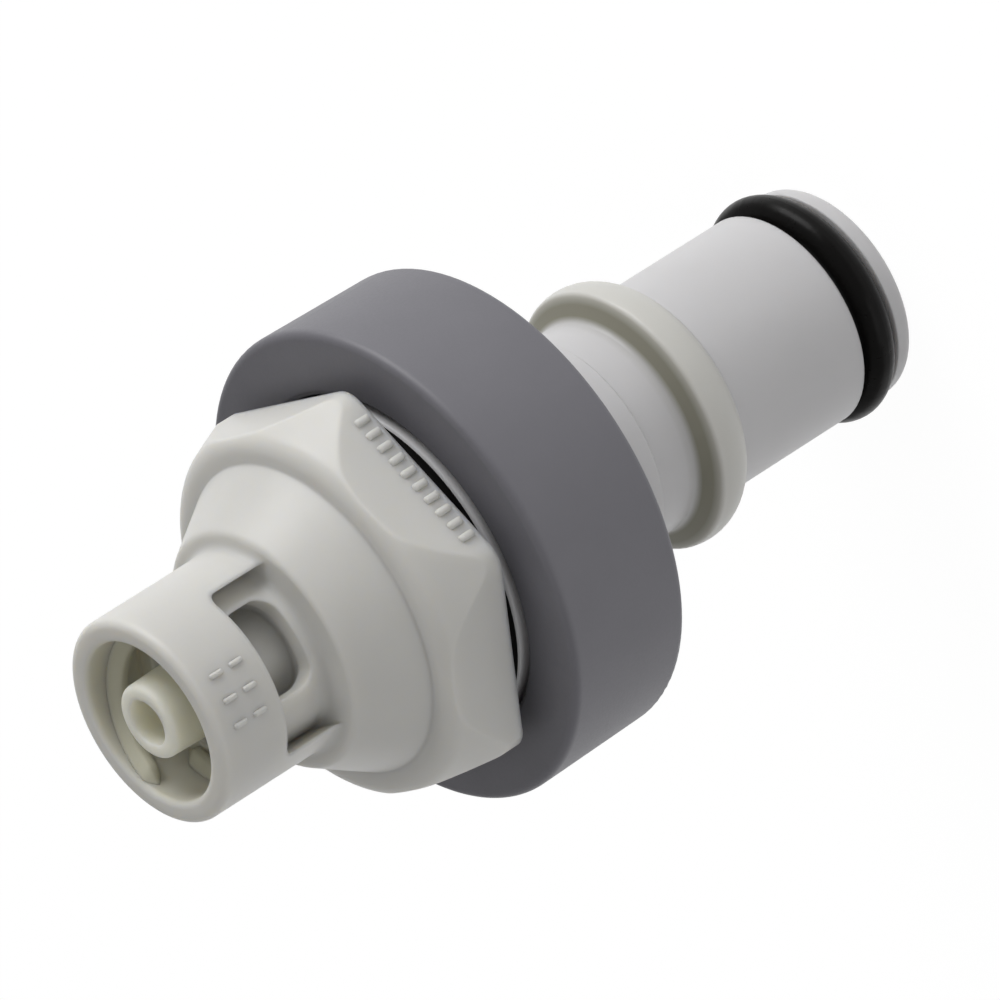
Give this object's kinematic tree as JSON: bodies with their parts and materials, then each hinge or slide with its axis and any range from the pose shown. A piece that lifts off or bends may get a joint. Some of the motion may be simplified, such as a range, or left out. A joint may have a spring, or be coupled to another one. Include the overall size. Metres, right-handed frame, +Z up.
{
  "type": "plastic quick disconnect coupling insert",
  "caption": "Plastic tube coupling insert: sealed barrel with a latch bead and shut-off valve, round grip ring, wrench nut and a male luer lock end.",
  "frame": {"origin": "centre of the end face of the barrel tip, on which the part stands", "axes": "+Z up the bore towards the luer end; the side windows behind the luer collar open along -Y and +Y"},
  "size_m": [0.0254, 0.0254, 0.0463],
  "materials": {
    "barrel_plastic": "satin moulded light grey",
    "ring_plastic": "fine textured dark grey",
    "housing_plastic": "satin moulded warm light grey",
    "inner_plastic": "smooth natural white",
    "spring_steel": "bright drawn wire",
    "seal_rubber": "glossy black, lightly greased"
  },
  "bodies": {
    "coupling": {"insert_barrel": "barrel_plastic", "grip_ring": "ring_plastic", "luer_housing": "housing_plastic", "spring_guide": "inner_plastic", "valve_spring": "spring_steel", "tip_seal": "seal_rubber", "body_seal": "seal_rubber"},
    "valve": {"valve_poppet": "inner_plastic", "poppet_seal": "seal_rubber"}
  },
  "joints": [
    {"name": "valve_slide", "type": "slide", "parent": "coupling", "child": "valve", "axis": [0, 0, 1], "range_m": [0, 0.003], "stiffness_N_per_m": 240, "deforming": ["valve_spring"]}
  ]
}
